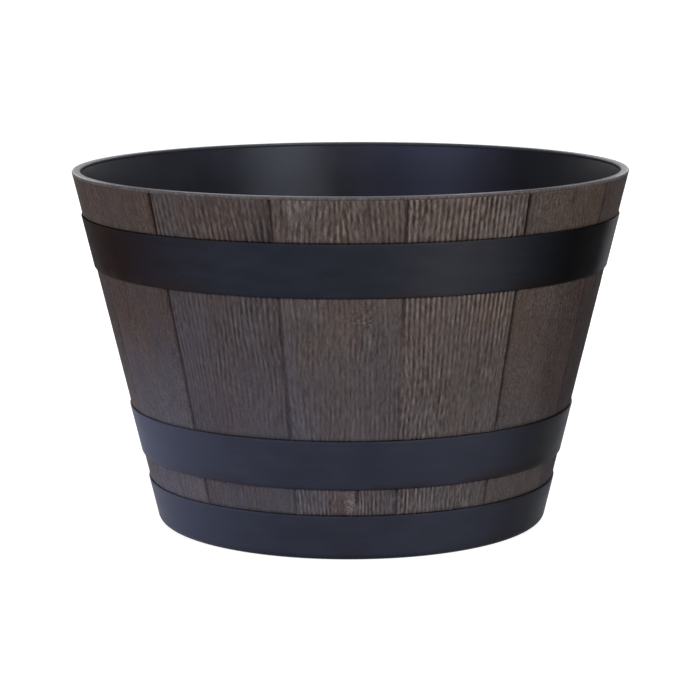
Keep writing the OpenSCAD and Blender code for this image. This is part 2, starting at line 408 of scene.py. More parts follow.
# How dark a joint is, and how far its darkness reaches to the right and to the left of it
SEAM_SHADE = 0.24
SEAM_REACH = (0.0022, 0.0038)
# The relief starts this far from a joint, is whole this much further on, and lies this much inside the
# solids' face in the mean
RELIEF_START = 0.0014
RELIEF_FADE = 0.003
RELIEF_DIP = 0.00012
# How far apart the staves' grain lies in the noise, in metres, so that no two are alike
GRAIN_STEP = 0.37

# The grain's sizes, all in millimetres. The largest relief, and the distance between two ridges
RELIEF = 0.30
RIDGE_PITCH = 4.4
# What ridges, flecks or dots, and streaks add to the relief
RIDGE_SHARE, FLECK_SHARE, STREAK_SHARE = 0.7, 0.5, 0.35
# Cells of streaks, flecks and dots, across and along
STREAK, FLECK, DOT = (2.4, 32.0), (1.8, 8.0), (2.6, 3.4)
# How a line of grain wanders: by how much, and over what distances across and along
LINE_WANDER = [(2.2, 40.0, 55.0), (1.0, 11.0, 26.0)]
# How a stave's contrast and ridges vary: by what share, and over what distances across and along
DEPTH_PATCH, COMB_PATCH = (0.35, 18.0, 24.0), (0.4, 14.0, 30.0)
# A fan closes most at this distance from its place
FAN_HALF = 16.0
# Levels about which slant and fan turn, below the upper hoop and above it, and one behind the hoop
TURN_BELOW, TURN_ABOVE, BEHIND_HOOP = 170.0, 310.0, 270.0
# Where ridges fade: the stave, from which place across and below which level, over what distance, how much
RIDGE_FADE = (0, -15.0, 205.0, 15.0, 0.6)
# A knot that no ridges ring keeps straight lines up to this many half-widths from its centre, less a fade
KNOT_REACH, KNOT_FADE = 1.25, 0.35
# The largest share of dots in a dotted place
DOTTED = 0.7

# Levels that the lists below give values for, lowest first
LEVELS = (0.050, 0.120, 0.160, 0.200, 0.230, 0.300)
# The middle levels of the top strip of staves and of the lowest
TOP_STRIP, LOWEST_STRIP = 0.313, 0.056
# How a joint wanders, in degrees: at the top strip, and further from there to the lowest
WANDER = {0: (0.0, 1.0), 1: (-0.45, 1.4), 2: (-1.2, 2.2), 11: (0.0, 0.0), 12: (-0.3, 0.3), 13: (0.5, 0.6)}
# How strongly a joint shows, by level
SEAM = {
    0: (1.1, 0.5, 0.12, 0.15, 1.1, 1.3),
    1: (1.4, 1.5, 1.7, 1.7, 1.7, 2.6),
    2: (0.4, 0.3, 0.3, 0.3, 0.5, 1.8),
    11: (0.05, 0.05, 0.05, 0.05, 0.05, 0.1),
    12: (1.2, 1.2, 1.1, 1.2, 1.1, 1.9),
    13: (0.7, 0.9, 0.7, 0.8, 0.8, 1.3),
}
USUAL_SEAM = (0.9, 0.7, 0.6, 0.7, 0.9, 1.3)
# How each stave's grain looks, by level or the same all over. Depth is its contrast, comb its share of
# ridges, even how unbroken they are, wave how far a line wanders, mottle its share of dots, tone how much
# lighter it is, and tint how much browner or, below 0, greyer. Slant, sideways per unit of height, and fan,
# by which the lines close up towards the top about a place across, go below the upper hoop and above it.
# The greyer tints low on the wall, strongest on the left staves, are partly painted light: bluish light from
# low on the left
STYLES = {
    0: dict(depth=(0.95, 0.84, 0.82, 0.78, 0.80, 1.05), comb=(0.9, 0.9, 1.0, 1.0, 1.0, 1.0),
            even=(0.0, 0.0, 0.0, 0.4, 0.9, 0.5), wave=(0.6, 0.8, 0.7, 0.5, 0.3, 0.4), mottle=0.0,
            tone=(0.10, 0.09, 0.06, 0.07, 0.12, 0.11), tint=(-0.16, -0.07, 0.02, 0.02, 0.02, -0.07),
            slant=(0.0, 0.0), fan=(0.0, 0.0), fan_u=0.0),
    1: dict(depth=(0.50, 0.62, 0.62, 0.70, 0.80, 0.90), comb=(0.1, 0.1, 0.1, 0.15, 0.3, 0.3),
            even=0.0, wave=1.4, mottle=(0.35, 0.45, 0.45, 0.45, 0.45, 0.35),
            tone=(0.04, 0.03, 0.03, 0.02, 0.02, 0.0), tint=(0.03, 0.03, 0.12, 0.21, 0.21, 0.03),
            slant=(0.04, 0.0), fan=(1.0, 9.0), fan_u=-8.0),
    2: dict(depth=(0.50, 0.55, 0.60, 0.60, 0.65, 0.65), comb=(0.2, 0.2, 0.2, 0.3, 0.3, 0.3),
            even=0.0, wave=1.0, mottle=0.2,
            tone=(-0.10, -0.27, -0.30, -0.30, -0.27, -0.09), tint=(-0.50, -0.32, -0.23, -0.23, -0.14, -0.23),
            slant=(0.0, 0.0), fan=(0.0, 0.0), fan_u=0.0),
    10: dict(depth=0.55, comb=0.2, even=0.0, wave=1.2, mottle=0.3,
             tone=(0.15, 0.03, -0.13, -0.25, -0.22, -0.12), tint=(-0.42, -0.15, -0.15, 0.22, 0.35, 0.58),
             slant=(0.0, 0.0), fan=(0.0, 0.0), fan_u=0.0),
    11: dict(depth=(0.62, 0.60, 0.55, 0.56, 0.62, 0.70), comb=(0.1, 0.1, 0.1, 0.1, 0.15, 0.2),
             even=0.0, wave=1.4, mottle=0.35,
             tone=(0.12, 0.07, 0.0, -0.11, -0.16, -0.07), tint=(-0.60, -0.60, -0.42, 0.04, 0.31, 0.49),
             slant=(0.0, 0.05), fan=(0.0, 0.0), fan_u=0.0),
    12: dict(depth=(0.52, 0.46, 0.46, 0.46, 0.55, 0.72), comb=(0.5, 0.6, 0.7, 0.8, 0.95, 0.7),
             even=(0.0, 0.0, 0.0, 0.0, 0.3, 0.3), wave=(1.3, 1.5, 1.3, 0.9, 0.6, 0.6),
             mottle=(0.3, 0.25, 0.2, 0.12, 0.05, 0.0),
             tone=(-0.03, -0.05, -0.06, -0.08, -0.08, -0.06), tint=(-0.53, -0.80, -0.62, -0.44, -0.16, -0.16),
             slant=(0.0, 0.06), fan=(0.0, 0.0), fan_u=0.0),
    13: dict(depth=(0.94, 0.55, 0.55, 0.58, 0.62, 0.92), comb=(0.8, 0.6, 0.5, 0.5, 0.6, 0.8),
             even=(0.2, 0.2, 0.1, 0.0, 0.0, 0.2), wave=(0.7, 0.9, 1.0, 1.0, 0.9, 0.7),
             mottle=(0.0, 0.05, 0.10, 0.12, 0.15, 0.0),
             tone=(0.01, 0.02, 0.0, 0.01, 0.03, 0.04), tint=(-0.38, -0.56, -0.43, -0.20, -0.11, -0.11),
             slant=(0.0, 0.0), fan=(0.5, 12.0), fan_u=-2.0),
}
# Places where the grain breaks into dots: stave, place across and level in millimetres, half-widths
DOTS = [(13, 19.0, 228.0, 15.0, 13.0), (13, 3.0, 55.0, 6.0, 14.0), (4, -18.0, 210.0, 14.0, 16.0),
        (7, 16.0, 150.0, 14.0, 18.0), (9, -12.0, 226.0, 14.0, 14.0)]
# Stains and one painted shade, placed as the dots are; the last two numbers are how much darker and how much
# browner
STAINS_AND_PAINTED_SHADE = [(0, 30.0, 228.0, 14.0, 16.0, 0.0, 0.3), (0, 50.9, 190.0, 2.4, 90.0, 0.07, 0.0),
          # The wide one on stave 1, at 38 across, is painted shade, darker towards the wall's right side
          (1, 38.0, 190.0, 38.0, 85.0, 0.20, 0.0), (1, 0.0, 325.0, 1.6, 7.0, 0.25, 0.0),
          (1, -50.7, 190.0, 3.0, 90.0, 0.09, 0.0), (4, 20.0, 150.0, 20.0, 50.0, 0.05, 0.3),
          (6, -24.0, 200.0, 22.0, 40.0, -0.04, -0.3), (8, 10.0, 140.0, 24.0, 40.0, 0.06, 0.25),
          (11, -29.0, 225.0, 20.0, 45.0, 0.03, 0.3), (11, 30.0, 210.0, 16.0, 60.0, 0.0, -0.35),
          (12, 47.0, 312.0, 9.0, 30.0, 0.12, 0.0), (13, 19.0, 228.0, 14.0, 12.0, 0.04, 0.0),
          (13, -47.0, 150.0, 12.0, 70.0, 0.0, -0.35), (13, 3.0, 54.0, 5.0, 13.0, -0.18, 0.1),
          (13, 11.4, 62.0, 2.1, 12.0, 0.42, 0.0)]
# Knots: stave, place across it and level in millimetres, half-widths across and along, and how strongly
# ridges ring them
KNOTS = [(13, 3.0, 55.0, 8.0, 19.0, 0.1), (3, 12.0, 180.0, 7.0, 24.0, 1.0),
         (6, -16.0, 140.0, 7.0, 22.0, 1.0), (9, 9.0, 222.0, 6.0, 22.0, 1.0)]
# The fields that the wall's mesh hands to its material, point by point
GRAIN_FIELDS = ("across", "depth", "comb", "even", "mottle", "shade", "tint")
# Seeds of the random draws: for a stave's style, its grain and a joint's wandering
STYLE_SEED, GRAIN_SEED, WANDER_SEED = 500, 40, 700


def style_of(i):
    """The style of stave i: its row of STYLES, or else one drawn at random."""
    rng = np.random.default_rng(STYLE_SEED + i)
    depth = rng.uniform(0.5, 0.95)
    comb = rng.uniform(0.4, 1.0)
    tone = rng.uniform(-0.06, 0.06)
    drawn = dict(depth=tuple(depth * k for k in (0.8, 0.7, 0.75, 0.85, 0.95, 1.2)),
                 comb=tuple(comb * k for k in (0.6, 0.6, 0.7, 0.8, 1.0, 1.0)), tone=tone,
                 slant=rng.uniform(-0.1, 0.1, 2), fan=rng.uniform(-4.0, 8.0, 2),
                 fan_u=rng.uniform(-15.0, 15.0), wave=rng.uniform(0.4, 1.0), mottle=rng.uniform(0.0, 0.3),
                 tint=rng.uniform(-0.30, 0.05), even=rng.uniform(0.0, 0.6))
    return STYLES.get(i, drawn)


def joint_shift(i, level):
    """How far joint i stands off its bearing at a level, in degrees."""
    rng = np.random.default_rng(WANDER_SEED + i)
    at_top, further = WANDER.get(i % STAVES, rng.uniform(-0.4, 0.4, 2))
    return at_top + further * (TOP_STRIP - level) / (TOP_STRIP - LOWEST_STRIP)


def seam_strength(i, level):
    """How strongly joint i shows at a level."""
    return np.interp(level, LEVELS, SEAM.get(i % STAVES, USUAL_SEAM))


def cell_noise(rng, u, v, size):
    """Smooth noise in cells of this size across and along."""
    return value_noise(rng, u / size[0], v / size[1])


def patchy(rng, u, v, patch):
    """A share about 1 that varies as a patch says: by how much, and over what distances."""
    return 1.0 + patch[0] * cell_noise(rng, u, v, patch[1:])


def within(u, v, place_u, place_v, half_u, half_v):
    """1 in the middle of an oval place on a stave, falling to 0 at one and a half times its half-widths."""
    return smoothstep(1.5 - np.hypot((u - place_u) / half_u, (v - place_v) / half_v))


def grain_lines(rng, i, u, v, style, wave):
    """For each point, where its line of grain lies across the stave, and how calm a knot makes it."""
    above = v > BEHIND_HOOP
    slant, fan = (np.where(above, style[key][1], style[key][0]) for key in ("slant", "fan"))
    height = v - np.where(above, TURN_ABOVE, TURN_BELOW)
    off = u - style["fan_u"]
    across = u + slant * height + off / (1 + (off / FAN_HALF) ** 2) * fan * height / 1000
    for amount, *size in LINE_WANDER:
        across = across + amount * wave * cell_noise(rng, u, v, size)
    calm = 0.0
    for stave, ku, kv, half_u, half_v, ringed in KNOTS:
        if stave == i:
            ring = np.hypot(u - ku, (v - kv) * half_u / half_v) / half_u
            outside = across - (u - ku) / np.maximum(ring, 1.0) ** 2
            round_knot = np.where(ring < 1.0, across - (u - ku) + half_u * (1.0 - ring), outside)
            calm = (1.0 - ringed) * smoothstep((KNOT_REACH - ring) / KNOT_FADE)
            across = round_knot + calm * (across - round_knot)
    return across, calm


def stave_fields(i, u, v):
    """The grain over u and v in millimetres, as a dict of fields for the wall's shape and its colour."""
    rng = np.random.default_rng(GRAIN_SEED + i)
    style = style_of(i)
    by_level = {key: np.interp(v / 1000, LEVELS, np.broadcast_to(style[key], len(LEVELS)))
                for key in ("depth", "comb", "even", "wave", "mottle", "tone", "tint")}
    across, calm = grain_lines(rng, i, u, v, style, by_level["wave"])
    depth = by_level["depth"] * patchy(rng, u, v, DEPTH_PATCH)
    comb = by_level["comb"] * patchy(rng, u, v, COMB_PATCH) * (1.0 - calm)
    stave, from_u, below_v, over, loss = RIDGE_FADE
    if stave == i:
        comb = comb * (1 - loss * smoothstep((u - from_u) / over) * smoothstep((below_v - v) / over))
    mottle = by_level["mottle"]
    for stave, *place in DOTS:
        if stave == i:
            mottle = np.maximum(mottle, DOTTED * within(u, v, *place))
    ridges = np.cos(2 * math.pi * across / RIDGE_PITCH) * comb
    flecks = cell_noise(rng, across, v, FLECK) * (1 - mottle)
    flecks = flecks + cell_noise(rng, u, v, DOT) * mottle
    streaks = cell_noise(rng, across, v, STREAK) * (1 - mottle)
    relief = RELIEF * depth * (RIDGE_SHARE * ridges + FLECK_SHARE * flecks + STREAK_SHARE * streaks)
    shade = -by_level["tone"]
    tint = by_level["tint"]
    for stave, *place, darker, browner in STAINS_AND_PAINTED_SHADE:
        if stave == i:
            share = within(u, v, *place)
            shade = shade + darker * share
            tint = tint + browner * share
    return dict(relief=relief, across=across / 1000 + GRAIN_STEP * i, depth=depth, comb=comb,
                even=by_level["even"], mottle=mottle, shade=shade, tint=tint)


def wall_rows():
    """Each row of the wall: level, distance in from the outer face, share of the grain."""
    bevel, step, edge_grain = 0.0004, 0.0001, 0.4

    def face(top, bottom, count, fade_top=0.0):
        """Rows of the open face, whose grain can fade in from its top."""
        rows = []
        for z in np.linspace(top, bottom, count):
            grain = min(1.0, (top - z) / fade_top) if fade_top else 1.0
            rows.append((z, 0.0, grain))
        return rows

    def seat(top, bottom):
        """The step in above a hoop, its seat, and the step out below it."""
        return [(top + SHOWN_GAP, bevel, edge_grain), (top + SHOWN_GAP - step, SEAT_DEPTH, 0.0),
                (bottom, SEAT_DEPTH, 0.0), (bottom - step, bevel - step, edge_grain)]

    rows = [(RIM_UNDER, SHELL_T - TONGUE_BITE, 0.0), (RIM_UNDER, bevel, 0.0),
            (RIM_UNDER - bevel + step, step, 0.0)]
    rows += face(RIM_UNDER - 2 * bevel, UPPER_HOOP[1] + SHOWN_GAP + bevel, STRIP_ROWS[0], 4 * bevel)
    rows += seat(UPPER_HOOP[1], UPPER_HOOP[0])
    rows += face(UPPER_HOOP[0] - bevel - step, LOWER_HOOP[1] + SHOWN_GAP + bevel, STRIP_ROWS[1])
    rows += seat(LOWER_HOOP[1], LOWER_HOOP[0])
    rows += face(LOWER_HOOP[0] - bevel - step, BASE_HOOP_TOP + SHOWN_GAP + bevel, STRIP_ROWS[2])
    # The base hoop's seat has no step out below it: it ends in the chamfer at the wall's foot
    rows += seat(BASE_HOOP_TOP, FOOT_Z + FOOT_CHAMFER)[:3]
    rows += [(FOOT_Z, SHELL_T, 0.0), (TONGUE_Z, SHELL_T, 0.0), (TONGUE_Z, SHELL_T - TONGUE_BITE, 0.0)]
    return np.array(rows)


def lay_stave_uv(piece, level, across, widths):
    """Gives each corner of a face its place across the stave and its level. Both places of a face come from
    the stave that it lies on."""
    cols = len(across)
    offset = GRAIN_STEP * np.repeat(np.arange(STAVES), COLUMNS)
    end = np.roll(across, -1)
    end[COLUMNS - 1::COLUMNS] = np.array(widths) / 2
    uv = np.zeros((len(level), cols, 4, 2))
    uv[:, :, 0, 0] = uv[:, :, 1, 0] = across + offset
    uv[:, :, 2, 0] = uv[:, :, 3, 0] = end + offset
    uv[:, :, 0, 1] = uv[:, :, 3, 1] = level
    uv[:, :, 1, 1] = uv[:, :, 2, 1] = np.roll(level, -1, axis=0)
    layer = piece.data.uv_layers.new(name="stave_uv")
    layer.data.foreach_set("uv", uv.astype(np.float32).ravel())


def stave_wall():
    """The wall of staves: grooves at the joints, seats for the hoops and grain in relief."""
    rows = wall_rows()
    level, inward, share = (rows[:, k][:, None] for k in range(3))
    outer = inward < SHELL_T / 2
    bearings, across, groove, relief, widths = [], [], [], [], []
    fields = {name: [] for name in GRAIN_FIELDS}
    for i in range(STAVES):
        left, right = joint_bearing(i), joint_bearing(i + 1)
        width = math.radians(right - left) * R_MID
        inner = np.linspace(MARGIN[-1], width - MARGIN[-1], COLUMNS - 2 * len(MARGIN) + 3)[1:-1]
        place = np.concatenate([MARGIN, inner, width - np.array(MARGIN[:0:-1])])
        part = place / width
        bearings.append(left + (right - left) * part + joint_shift(i, level) * (1 - part)
                        + joint_shift(i + 1, level) * part)
        near_left = place < width / 2
        gap = np.where(near_left, place, width - place)
        strength = np.where(near_left, seam_strength(i, level), seam_strength(i + 1, level))
        depth = JOINT_DEPTH * (FAINTEST + (1 - FAINTEST) * np.minimum(strength, 1.0))
        groove.append(depth * (1 - smoothstep(gap / JOINT_HALF)))
        seam = strength * (1 - smoothstep(gap / np.where(near_left, *SEAM_REACH))) * outer
        u = place - width / 2
        stave = stave_fields(i, *np.broadcast_arrays(1000 * u, 1000 * level))
        stave["shade"] = stave["shade"] + SEAM_SHADE * seam
        clear = smoothstep((gap - RELIEF_START) / RELIEF_FADE)
        relief.append(0.001 * stave["relief"] * clear * share)
        across.append(u)
        widths.append(width)
        for name, values in fields.items():
            values.append(stave[name])
    bearings, groove, relief = (np.concatenate(x, 1) for x in (bearings, groove, relief))
    cut = np.where(outer, np.maximum(inward, groove), inward)
    radius = wall_r(level) - cut + np.where(outer, relief - RELIEF_DIP * share, 0.0)
    piece = ring_grid("stave_wall", radius, level, bearings)
    for name, values in fields.items():
        add_attribute(piece, name, np.concatenate(values, 1), radius.shape)
    lay_stave_uv(piece, level, np.concatenate(across), widths)
    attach(piece, "barrel")
    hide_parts("stave_shell")
    put_material(piece, walnut_material())


# Hoops and rim ring

RING_STEPS = 360
BEARINGS = np.arange(RING_STEPS) * 360.0 / RING_STEPS
# Size of a hoop's rounded edge, and the share of it that its middle point lies in and down
HOOP_EDGE = 0.0006
EDGE_IN, EDGE_DOWN = 0.25, 0.3
# Rows down a hoop's face, down the base hoop's, round its bottom edge, and round an edge of the rim
FACE_ROWS, BASE_ROWS, BASE_ROUND_ROWS, RIM_ROUND_ROWS = 16, 12, 10, 6
# Waves of a hoop's face round the ring, and of its top edge: how high, in metres, and how many
FACE_WAVES = [(0.00007, 29), (0.00005, 67)]
TOP_WAVE = (0.00016, 41)
# How far the top wave reaches down, and the worn edges: at the bottom, and half as strong at the top
TOP_WAVE_REACH = 0.006
WEAR_BOTTOM, WEAR_TOP = 0.012, 0.004
# Bevels of the foot's inner edge and of the rim's lower one
FOOT_BEVEL = 0.0006
RIM_BEVEL = 0.0004
# Seeds of the hoops' waves
UPPER_SEED, LOWER_SEED, BASE_SEED = 71, 72, 73
# Where each hoop's paint is thin, darker or paler, and where the rim is dull: bearing, half-width, amount
# A hoop's darker places are mostly painted shade, and its paler ones mostly a painted sheen
UPPER_PAINT = {"thin": [(-70.0, 48.0, 1.15), (165.0, 30.0, 0.7)],
               "darker_and_painted_shade": [(58.0, 30.0, 1.12), (-80.0, 20.0, 0.6), (-140.0, 30.0, 0.6)],
               "paler_and_painted_sheen": [(21.0, 20.0, 0.14), (77.0, 12.0, 1.0), (112.0, 24.0, 0.09)]}
LOWER_PAINT = {"thin": [], "darker_and_painted_shade": [(60.0, 26.0, 0.85), (150.0, 30.0, 0.4)],
               "paler_and_painted_sheen": [(-76.0, 62.0, 1.0), (26.0, 24.0, 0.2), (115.0, 24.0, 0.2)]}
BASE_PAINT = dict(LOWER_PAINT, darker_and_painted_shade=[(60.0, 24.0, 0.55), (150.0, 30.0, 0.4)])
# The rim's dull places are rougher and darkened with painted shade
RIM_DULL_AND_SHADED = [(5.0, 22.0, 0.45), (36.0, 13.0, 0.65), (54.0, 24.0, 0.6), (-46.0, 22.0, 0.6), (140.0, 30.0, 0.4)]
# The rim's top colour starts this far under its top, and the pot's black this far outside its flat top's
# inner end, and each is whole this much further on
TOP_START, TOP_FADE = 0.0009, 0.0007
INSIDE_START, INSIDE_FADE = 0.0004, 0.0006


def arc(centre_r, centre_z, radius, first, last, steps):
    """Points (radius, level) of an arc, by angles in degrees."""
    angles = np.radians(np.linspace(first, last, steps + 1))
    return [(centre_r + radius * math.cos(a), centre_z + radius * math.sin(a)) for a in angles]


def zones(places):
    """How strongly a finish shows round the ring, from its places' bearings, half-widths and amounts."""
    share = np.zeros(RING_STEPS)
    for place, half, amount in places:
        share += amount * smoothstep(1 - np.abs((BEARINGS - place + 180) % 360 - 180) / half)
    return share


def band_face(top, bottom, steps):
    """The proud outer face of a hoop, with a rounded top edge, as (radius, level)."""
    points = [(wall_r(top) - HOOP_INNER_IN, top), (wall_r(top) + HOOP_PROUD - HOOP_EDGE, top),
              (wall_r(top) + HOOP_PROUD - EDGE_IN * HOOP_EDGE, top - EDGE_DOWN * HOOP_EDGE)]
    points += [(wall_r(z) + HOOP_PROUD, z) for z in np.linspace(top - HOOP_EDGE, bottom, steps)]
    return points


def band(name, node, points, edge_low, edge_high, material, seed, paint):
    """A hoop from its outline, between the levels of its edges. The top edge waves below the outline and
    never above it, so that the line over it stays open."""
    rng = np.random.default_rng(seed)
    radius, level = np.array(points).T[:, :, None]
    proud = radius > wall_r(level) + HOOP_PROUD / 2
    wave = sum(height * ring_noise(rng, BEARINGS, count) for height, count in FACE_WAVES)
    lift = TOP_WAVE[0] * ring_noise(rng, BEARINGS, TOP_WAVE[1])
    near_top = smoothstep(1 - (edge_high - level) / TOP_WAVE_REACH)
    piece = ring_grid(name, radius + np.where(proud, wave, 0.0),
                      level + near_top * np.where(proud, lift, 0.0) - TOP_WAVE[0] * near_top, BEARINGS)
    worn = np.maximum(smoothstep(1 - (level - edge_low) / WEAR_BOTTOM),
                      smoothstep(1 - (edge_high - level) / WEAR_TOP) / 2)
    shape = (len(points), RING_STEPS)
    add_attribute(piece, "edge", worn, shape)
    for kind, places in paint.items():
        add_attribute(piece, kind, zones(places), shape)
    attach(piece, "barrel")
    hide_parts(node)
    put_material(piece, material)


def hoops():
    """The upper, lower and base hoop. The base hoop's bottom edge is a round that turns in as the foot."""
    # The lower and base hoops get lighter paint than the upper hoop, as painted light from the bright floor
    # below them
    upper = hoop_material("hoop_upper_black", dark=(0.0196, 0.0218, 0.0298), light=(0.0245, 0.0272, 0.0372),
                          paler_colour=(0.1300, 0.1200, 0.1360), specular=0.004)
    lower = hoop_material("hoop_lower_black_painted_lighter", dark=(0.0294, 0.0318, 0.0474), light=(0.0353, 0.0382, 0.0560),
                          paler_colour=(0.0660, 0.0700, 0.1020), specular=0.023)
    for name, node, (bottom, top), material, seed, paint in (
            ("upper_band", "upper_hoop", UPPER_HOOP, upper, UPPER_SEED, UPPER_PAINT),
            ("lower_band", "lower_hoop", LOWER_HOOP, lower, LOWER_SEED, LOWER_PAINT)):
        points = band_face(top, bottom + HOOP_EDGE, FACE_ROWS)
        points += [(wall_r(bottom) + HOOP_PROUD - EDGE_IN * HOOP_EDGE, bottom + EDGE_DOWN * HOOP_EDGE),
                   (wall_r(bottom) + HOOP_PROUD - HOOP_EDGE, bottom),
                   (wall_r(bottom) - HOOP_INNER_IN, bottom)]
        band(name, node, points, bottom, top, material, seed, paint)
    round_r = wall_r(BASE_ROUND) + HOOP_PROUD - BASE_ROUND / math.cos(LEAN_ANGLE)
    foot_r = wall_r(FOOT_Z) - POT_INNER_IN - FOOT_LAP
    chamfer_z = FOOT_Z + FOOT_CHAMFER
    points = band_face(BASE_HOOP_TOP, BASE_ROUND + 0.002, BASE_ROWS)
    points += arc(round_r, BASE_ROUND, BASE_ROUND, -math.degrees(LEAN_ANGLE), -90, BASE_ROUND_ROWS)
    points += [(foot_r + FOOT_BEVEL, 0.0), (foot_r, FOOT_BEVEL), (foot_r, FOOT_Z - FOOT_BEVEL),
               (foot_r + FOOT_BEVEL, FOOT_Z),
               (wall_r(FOOT_Z) - HOOP_INNER_IN - FOOT_CHAMFER, FOOT_Z),
               (wall_r(chamfer_z) - HOOP_INNER_IN, chamfer_z)]
    band("base_band", "base_hoop", points, 0.0, BASE_HOOP_TOP, lower, BASE_SEED, BASE_PAINT)


def rim():
    """The rim ring: two rounded edges with a flat top, and the tongue between the walls under it."""
    outer_z, inner_z = HEIGHT - RIM_OUTER_ROUND, HEIGHT - RIM_INNER_ROUND
    outer_r = wall_r(outer_z) - RIM_OUTER_ROUND / math.cos(LEAN_ANGLE)
    inner_r = wall_r(inner_z) - POT_INNER_IN + RIM_INNER_ROUND / math.cos(LEAN_ANGLE)
    lean = math.degrees(LEAN_ANGLE)
    tongue_outer_in = SHELL_T - TONGUE_BITE + FIT_GAP
    tongue_inner_in = POT_OUTER_IN + TONGUE_BITE - FIT_GAP
    points = arc(inner_r, inner_z, RIM_INNER_ROUND, 180 - lean, 90, RIM_ROUND_ROWS)
    points += [(inner_r + share * (outer_r - inner_r), HEIGHT) for share in (0.4, 0.7)]
    points += arc(outer_r, outer_z, RIM_OUTER_ROUND, 90, -lean, RIM_ROUND_ROWS)
    points += [(wall_r(RIM_UNDER + RIM_BEVEL), RIM_UNDER + RIM_BEVEL),
               (wall_r(RIM_UNDER) - RIM_BEVEL, RIM_UNDER),
               (wall_r(RIM_UNDER) - tongue_outer_in, RIM_UNDER),
               (wall_r(TONGUE_Z) - tongue_outer_in, TONGUE_Z + FIT_GAP),
               (wall_r(TONGUE_Z) - tongue_inner_in, TONGUE_Z + FIT_GAP),
               (wall_r(RIM_UNDER) - tongue_inner_in, RIM_UNDER),
               (wall_r(RIM_UNDER) - POT_INNER_IN, RIM_UNDER)]
    radius, level = np.array(points).T[:, :, None]
    piece = ring_grid("rim_lip", radius, level, BEARINGS)
    top = np.maximum(smoothstep((level - HEIGHT + TOP_START) / TOP_FADE), radius < inner_r)
    inside = smoothstep((inner_r - radius + INSIDE_START) / INSIDE_FADE)
    for name, values in (("top", top), ("inside", inside), ("dull_and_shaded", zones(RIM_DULL_AND_SHADED))):
        add_attribute(piece, name, values, (len(points), RING_STEPS))
    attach(piece, "barrel")
    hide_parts("rim_ring")
    put_material(piece, rim_material())


# Drain plugs

PLUG_STEPS = 72
PLUG_CIRCLE = 0.110
# Each plug's side, the bearing of its hole, which its grip points along, and the hole's distance out
PLUG_PLACES = (("centre", 90, 0.0), ("front", 0, PLUG_CIRCLE), ("right", 90, PLUG_CIRCLE),
               ("back", 180, PLUG_CIRCLE), ("left", 270, PLUG_CIRCLE))
# Height of a plug's top over the pot's floor
PLUG_GRIP = 0.0105
# A stem's rings end this far under the floor, in millimetres
STEM_TOP = 0.5
# A plug's rings, in millimetres: level, half-length along the grip, half-width across it, and how square the
# ring is, from 2, a plain oval. The stem's levels count up from its flat end, and those of the flange and
# grip from the pot's floor.
STEM_RINGS = [
    (0.0, 5.0, 5.0, 2), (0.15, 5.6, 5.6, 2), (0.7, 6.0, 6.0, 2), (1.6, 6.15, 6.15, 2),
    (2.0, 6.45, 6.45, 2), (2.4, 6.5, 6.5, 2), (2.8, 6.15, 6.15, 2), (4.2, 6.15, 6.15, 2),
    (4.6, 6.45, 6.45, 2), (5.0, 6.5, 6.5, 2), (5.4, 6.15, 6.15, 2)]
CAP_RINGS = [
    (0.0, 6.3, 6.3, 2), (0.0, 11.3, 11.3, 2), (0.2, 11.8, 11.8, 2), (0.7, 12.0, 12.0, 2),
    (1.6, 12.0, 12.0, 2), (2.2, 11.7, 11.7, 2), (2.5, 11.2, 11.2, 2), (2.5, 10.5, 10.5, 2),
    (2.3, 10.2, 10.2, 2), (2.15, 9.9, 9.9, 2), (2.2, 9.6, 9.6, 2), (2.45, 9.3, 8.4, 2.1),
    (2.5, 9.2, 5.4, 2.3), (2.5, 9.1, 3.0, 2.8), (2.6, 8.9, 2.2, 3.4), (2.9, 8.6, 1.75, 4),
    (3.6, 8.4, 1.45, 5), (4.6, 8.35, 1.25, 5), (5.8, 8.4, 1.2, 5), (7.0, 8.5, 1.25, 5),
    (7.9, 8.7, 1.5, 5), (8.5, 8.9, 1.75, 4.5), (9.1, 9.0, 1.85, 4), (9.7, 8.95, 1.75, 4),
    (10.2, 8.6, 1.4, 4), (10.45, 8.0, 0.9, 3.5), (10.5, 7.2, 0.4, 3)]


